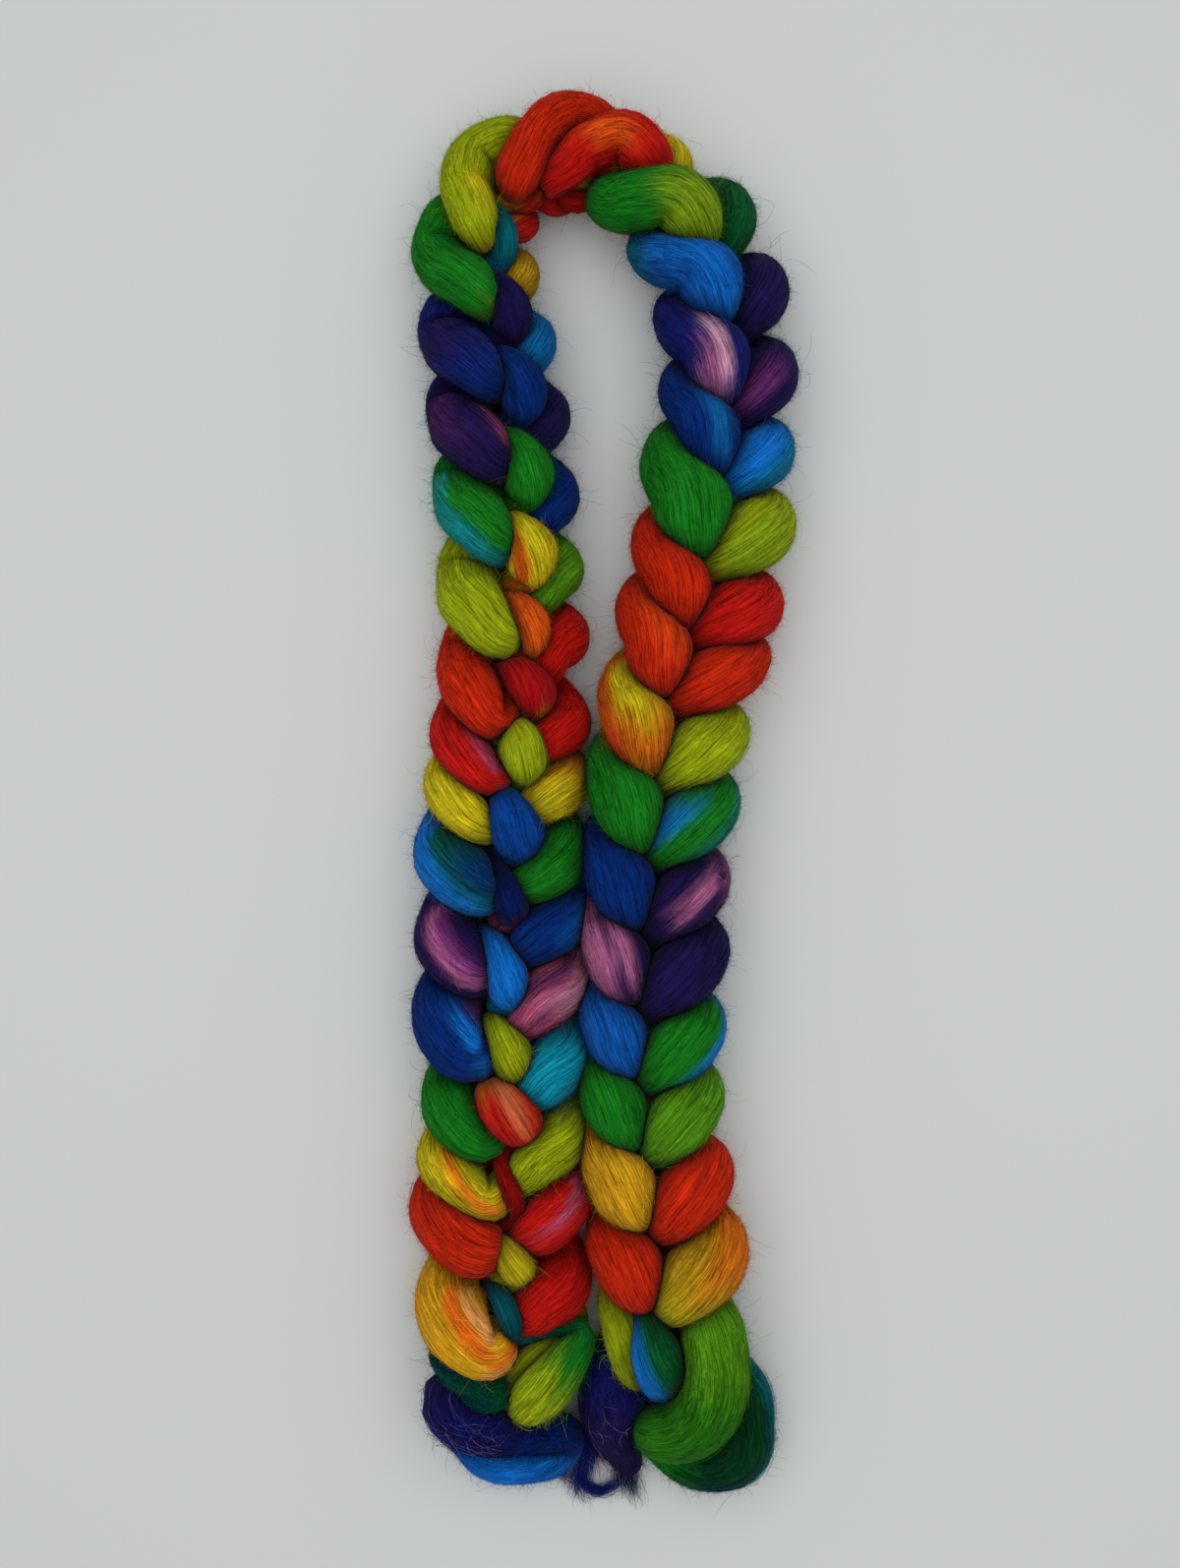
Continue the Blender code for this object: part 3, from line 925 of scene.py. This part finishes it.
class Surface:
    # reads the strand between its sections and round them
    def __init__(self, rows, turns):
        rows = np.clip(rows, 0, len(roving.at) - 1.001)
        self.row = rows.astype(int)
        self.rowPart = rows - self.row
        sides = len(roving.angles)
        self.turn = np.floor(turns).astype(int) % sides
        self.turnPart = turns - np.floor(turns)
        self.nextTurn = (self.turn + 1) % sides

    def read(self, field):
        extra = (None,) * (field.ndim - 2)
        a = self.rowPart[(..., *extra)]
        b = self.turnPart[(..., *extra)]
        here = field[self.row, self.turn] * (1 - b) + field[self.row, self.nextTurn] * b
        there = field[self.row + 1, self.turn] * (1 - b) + field[self.row + 1, self.nextTurn] * b
        return here * (1 - a) + there * a

    def centre(self):
        a = self.rowPart[..., None]
        return roving.centres[self.row] * (1 - a) + roving.centres[self.row + 1] * a

    def place(self, lift):
        return self.centre() + unit(self.read(roving.out)) * (self.read(roving.reach) + lift)[..., None]


def rootsOf(rng, count, weight):
    chance = (weight / weight.sum()).ravel()
    picked = rng.choice(chance.size, size=count, p=chance)
    sides = weight.shape[1]
    return picked // sides + rng.uniform(0, 1, count), picked % sides + rng.uniform(0, 1, count)


def hairColours(rng, surface, low, high):
    # each hair takes the strand's colour at its root, painted crease shade included, made lighter or
    # darker at random
    return surface.read(dyeWithPaintedShade) * rng.uniform(low, high, len(surface.row))[:, None]


def offTable(paths):
    paths[..., 2] = np.maximum(paths[..., 2], hairs["shyOf"])
    return paths


def nearThePart(paths):
    low = np.array(cadLow) / mm - hairs["within"]
    high = np.array(cadHigh) / mm + hairs["within"]
    places = paths + shift
    return ((places > low) & (places < high)).all(axis=(1, 2))


combed = {  # hairs that lie along the roving
    "count": 2400,  # in each of the two pieces
    "radius": 0.080,
    "stops": 7,
    "length": (14, 40),
    "drift": 0.7,  # how far a hair goes round the strand along its length, in sides
    "sway": 0.18,
    "swayTurns": (0.7, 1.6),
    "lift": 0.06,  # least height above the wool
    "loft": 0.10,  # and how much more there is as a rule
    "endLift": (-0.5, 1.0),
    "brightness": (0.50, 1.90),
}


def combedHairs(rng, weight):
    count = combed["count"]
    rows, turns = rootsOf(rng, count, weight)
    t = np.linspace(-0.5, 0.5, combed["stops"])[None]
    length = rng.uniform(*combed["length"], (count, 1))
    drift = rng.normal(0, combed["drift"], (count, 1))
    sway = rng.normal(0, combed["sway"], (count, 1))
    swayTurns = rng.uniform(*combed["swayTurns"], (count, 1))
    begin = rng.uniform(0, 1, (count, 1))
    sway = sway * np.sin(2 * math.pi * (t * swayTurns + begin))
    along = t * length / strand["step"]
    surface = Surface(rows[:, None] + along, turns[:, None] + drift * t + sway)
    lift = combed["lift"] + rng.exponential(combed["loft"], (count, 1))
    lift = lift + (2 * t) ** 2 * rng.uniform(*combed["endLift"], (count, 1))
    root = Surface(rows, turns)
    return offTable(surface.place(lift)), hairColours(rng, root, *combed["brightness"])


crossing = {  # hairs that lie over the roving any way
    "count": 2600,
    "radius": 0.075,
    "stops": 8,
    "shortest": 5.0,
    "longest": 16.0,
    "slant": 0.9,
    "curl": 0.9,
    "curlTurns": (0.5, 1.3),
    "lift": 0.15,
    "loft": 0.35,
    "endLift": (-0.3, 1.5),
    "brightness": (0.6, 2.3),
}


def crossingHairs(rng, count, weight, longest, loft):
    rows, turns = rootsOf(rng, count, weight)
    t = np.linspace(-0.5, 0.5, crossing["stops"])[None]
    length = rng.uniform(crossing["shortest"], longest, (count, 1))
    slant = rng.normal(0, crossing["slant"], (count, 1))
    girth = roving.girths[rows.astype(int)][:, None]
    curlTurns = rng.uniform(*crossing["curlTurns"], (count, 1))
    begin = rng.uniform(0, 2, (count, 1))
    curl = rng.normal(0, crossing["curl"], (count, 1))
    curl = curl * np.sin(math.pi * (2 * t * curlTurns + begin))
    along = t * length * np.cos(slant) / strand["step"]
    aside = (t * length * np.sin(slant) + curl) / (2 * math.pi * girth) * strand["sides"]
    surface = Surface(rows[:, None] + along, turns[:, None] + aside)
    lift = crossing["lift"] + rng.exponential(loft, (count, 1))
    lift = lift + (2 * t) ** 2 * rng.uniform(*crossing["endLift"], (count, 1))
    return offTable(surface.place(lift)), Surface(rows, turns)


standing = {  # hairs that stand away from the roving
    "rooted": 0.4,  # how deep in the wool they start
    "rise": (0.25, 1.0),
    "sweep": 0.8,  # how far they lean along the strand
    "lean": 0.5,  # and across it
    "lengths": (1.2, 2.6),  # more short ones than long ones
    "curlGrowth": 0.6,
    "brightness": (0.40, 1.45),
}
standingRows = (
    # name, hairs, shortest, longest, stops, curl, radius, where
    ("short_fuzz", 46000, 1.0, 6.0, 2, 0.12, 0.080, "fringe"),
    ("edge_down", 14000, 3.0, 8.5, 2, 0.12, 0.056, "outward"),
    ("flyaway_hairs_a", 3600, 2.5, 10.0, 6, 0.24, 0.056, "outward"),
    ("flyaway_hairs_b", 2800, 2.5, 22.0, 8, 0.24, 0.056, "outward"),
)


def standingHairs(rng, count, weight, shortest, longest, stops, curl):
    rows, turns = rootsOf(rng, count, weight)
    root = Surface(rows, turns)
    out = unit(root.read(roving.out))
    ahead = roving.tangents[root.row]
    aside = np.cross(ahead, out)
    rise = rng.uniform(*standing["rise"], (count, 1))
    sweep = rng.normal(0, standing["sweep"], (count, 1))
    lean = rng.normal(0, standing["lean"], (count, 1))
    heading = unit(out * rise + ahead * sweep + aside * lean)
    length = shortest + (longest - shortest) * rng.beta(*standing["lengths"], (count, 1))
    at = root.place(np.full(count, -standing["rooted"]))
    paths = [at]
    bend = rng.normal(0, curl, (count, 3))
    for _ in range(stops - 1):
        at = at + heading * length / (stops - 1)
        paths.append(at)
        bend = bend + rng.normal(0, curl * standing["curlGrowth"], (count, 3))
        heading = unit(heading + bend)
    paths = offTable(np.stack(paths, axis=1))
    kept = nearThePart(paths)
    return paths[kept], hairColours(rng, root, *standing["brightness"])[kept]


spread = {  # where on the strand the hairs are
    "under": 0.55,  # how far round to its underside a turn shows
    "creaseShare": 1.5,  # how many more of the fringe stand beside a crease
    "fringe": (1.35, 0.3),  # how little of them is on top, and the least share there
    "outward": (1.15, 0.1),
}
loose = hairMaterial()
facesUp = np.clip(roving.out[..., 2] + spread["under"], 0.0, 1.0)
level = np.abs(roving.out[..., 2])
nearCrease = 1 + spread["creaseShare"] * (1 - roving.shade)
showing = roving.free * facesUp * roving.reach
weights = {
    "fringe": showing * nearCrease * np.clip(spread["fringe"][0] - level, spread["fringe"][1], 1.0),
    "outward": showing * np.clip(spread["outward"][0] - level, spread["outward"][1], 1.0),
}
rng = np.random.default_rng(hairs["seed"])
for name in ("combed_hairs_a", "combed_hairs_b"):
    paths, colours = combedHairs(rng, showing)
    addPiece(hairMesh(name, paths, combed["radius"], colours), loose)
paths, roots = crossingHairs(rng, crossing["count"], showing, crossing["longest"], crossing["loft"])
colours = hairColours(rng, roots, *crossing["brightness"])
addPiece(hairMesh("crossing_hairs", paths, crossing["radius"], colours), loose)
for name, count, shortest, longest, stops, curl, radius, where in standingRows:
    paths, colours = standingHairs(rng, count, weights[where], shortest, longest, stops, curl)
    if stops == 2:
        mesh = pointMesh(name, paths[:, 0], paths[:, 1], radius, colours)
    else:
        mesh = hairMesh(name, paths, radius, colours)
    addPiece(mesh, loose)
print("hairs made")

# the frayed loose end: bundles of hairs along short curves, in millimetres
frayRows = (
    # start x, y, z, middle x, y, z, end x, y, z, spread, hairs, dye
    (4, -270, 20, -1, -291, 10, -5, -309, 4, 6.0, 440, "violet blue"),
    (8, -274, 20, 14, -293, 12, 15, -311, 4, 5.5, 360, "violet"),
    (-5, -305, 4, 3, -312, 4, 13, -307, 4, 2.8, 230, "violet blue"),
    (-3, -284, 15, 5, -291, 12, 12, -295, 11, 4.5, 180, "violet"),
    (-2, -292, 6, 3, -299, 5, 9, -304, 5, 5.0, 45, "undyed"),
    (14, -300, 5, 17, -308, 3, 19, -316, 2, 4.5, 110, "deep teal"),
    (-3, -302, 4, -5, -309, 3, -4, -317, 2, 5.0, 100, "violet blue"),
    (-16, -296, 5, -12, -304, 4, -6, -309, 3, 5.0, 90, "violet"),
)
# the matted places: hairs that lie any way over the turns near a spot
mattedRows = (
    # stitch or row, part, x, y, how far each way, hairs, dye
    (35, "L", -42, -252, 15, 190, "deep teal"),
    (35, "L", -34, -252, 15, 210, "bottle green"),
    (5, "finish", -52, -262, 14, 150, "violet blue"),
    (6, "finish", -46, -270, 13, 150, "violet blue"),
    (6, "finish", -50, -268, 12, 45, "heather"),
    (8, "finish", -26, -282, 13, 90, "blue"),
    (4, "start", 9, -262, 10, 90, "violet blue"),
    (3, "start", 8, -280, 10, 14, "heather"),
)


frayed = {
    "radius": 0.06,
    "stops": 9,
    "starts": (-0.15, 0.35),  # share of the bundle's curve at which a hair starts
    "ends": (0.6, 1.15),
    "flatness": (1, 0.6, 0.7),  # a bundle's spread in x, y and z
    "opens": (0.7, 0.5),  # its spread at the start, and how much it grows
    "sway": 0.9,
    "swayTurns": (0.5, 1.8),
    "brightness": (0.7, 2.2),
}
matted = {
    "radius": 0.07,
    "longest": 14.0,
    "loft": 0.8,
    "alongTurn": 30.0,  # how far from its turn along the roving a matted place goes
    "topShare": 12.0,  # the smaller, the more of the hairs are high up
    "brightness": (0.5, 1.75),
}


def frayedHairs(rng):
    paths = []
    colours = []
    for row in frayRows:
        start, halfway, end = np.array(row[:9], float).reshape(3, 3)
        wide, count, dye = row[9:]
        t = np.linspace(0, 1, frayed["stops"])[None, :, None]
        first = rng.uniform(*frayed["starts"], (count, 1, 1))
        last = rng.uniform(*frayed["ends"], (count, 1, 1))
        t = first + (last - first) * t
        bow = 2 * halfway - (start + end) / 2
        line = start * (1 - t) ** 2 + 2 * bow * t * (1 - t) + end * t**2
        offset = rng.normal(0, wide / 2, (count, 1, 3)) * np.array(frayed["flatness"])
        sway = rng.normal(0, frayed["sway"], (count, 3, 3))
        swayTurns = rng.uniform(*frayed["swayTurns"], (count, 1, 1))
        angle = 2 * math.pi * (t * swayTurns + rng.uniform(0, 1, (count, 1, 1)))
        line = line + offset * (frayed["opens"][0] + frayed["opens"][1] * t)
        line = line + sway[:, :1] * np.sin(angle) + sway[:, 1:2] * np.cos(angle)
        paths.append(line)
        colours.append(linear(dyes[dye]) * rng.uniform(*frayed["brightness"], (count, 1)))
    return offTable(np.concatenate(paths)), np.concatenate(colours)


def mattedHairs(rng):
    paths = []
    colours = []
    high = showing * np.exp(roving.points[..., 2] / matted["topShare"])
    for stitch, part, x, y, wide, count, dye in mattedRows:
        away = np.linalg.norm(roving.points[..., :2] - np.array([x, y]), axis=-1)
        turn = np.abs(roving.at - roving.placeOf(stitch, part))[:, None] < matted["alongTurn"]
        weight = high * turn * np.exp(-((away / wide) ** 2))
        lines, _ = crossingHairs(rng, count, weight, matted["longest"], matted["loft"])
        paths.append(lines)
        colours.append(linear(dyes[dye]) * rng.uniform(*matted["brightness"], (count, 1)) ** 2)
    return np.concatenate(paths), np.concatenate(colours)


paths, colours = frayedHairs(rng)
addPiece(hairMesh("frayed_end", paths, frayed["radius"], colours), loose)
paths, colours = mattedHairs(rng)
addPiece(hairMesh("matted_hairs", paths, matted["radius"], colours), loose)
print("frayed end made")


room = {
    "floorColour": (206, 210, 209),
    "floorRoughness": 0.7,
    "floorSide": 4.0,
    "floorDrop": 0.0003,
    "worldLight": 0.52,
    "lampSide": 1.6,
    "lampPlace": (0.05, 0.02, 1.15),
    "lampTurn": (-16, -13, 0),
    "lampPower": 9.2,
    "cameraHeight": 0.80,
    "cameraSensor": 36.0,
    "cameraClip": 0.01,
    "viewLength": 0.6695,  # of the table that the view takes in, top to bottom
    "viewMiddle": (-0.0060, 0.0063, 0.030),
}


def makeFloor():
    side = room["floorSide"] / 2
    mesh = bpy.data.meshes.new("floor")
    corners = [(-side, -side, 0), (side, -side, 0), (side, side, 0), (-side, side, 0)]
    mesh.from_pydata(corners, [], [(0, 1, 2, 3)])
    floor = bpy.data.objects.new("floor", mesh)
    bpy.context.scene.collection.objects.link(floor)
    floor.location.z = -room["floorDrop"]
    colour = (*linear(room["floorColour"]), 1.0)
    finish = {"Base Color": colour, "Roughness": room["floorRoughness"]}
    mesh.materials.append(Recipe("pale table top").finish(**finish))


def makeLight():
    world = bpy.data.worlds.new("soft room")
    world.use_nodes = True
    light = world.node_tree.nodes["Background"].inputs
    light["Color"].default_value = (1.0, 1.0, 1.0, 1.0)
    light["Strength"].default_value = room["worldLight"]
    bpy.context.scene.world = world
    lamp = bpy.data.lights.new("soft box", "AREA")
    lamp.shape = "SQUARE"
    lamp.size = room["lampSide"]
    lamp.energy = room["lampPower"]
    box = bpy.data.objects.new("soft box", lamp)
    box.location = room["lampPlace"]
    box.rotation_euler = [math.radians(turn) for turn in room["lampTurn"]]
    bpy.context.scene.collection.objects.link(box)


def makeCamera():
    camera = bpy.data.cameras.new("camera")
    camera.sensor_fit = "VERTICAL"
    camera.sensor_height = room["cameraSensor"]
    camera.lens = room["cameraSensor"] * room["cameraHeight"] / room["viewLength"]
    camera.clip_start = room["cameraClip"]
    holder = bpy.data.objects.new("camera", camera)
    x, y, z = room["viewMiddle"]
    holder.location = (x, y, z + room["cameraHeight"])
    bpy.context.scene.collection.objects.link(holder)
    bpy.context.scene.camera = holder


makeFloor()
makeLight()
makeCamera()
bpy.context.scene.view_settings.view_transform = "Standard"
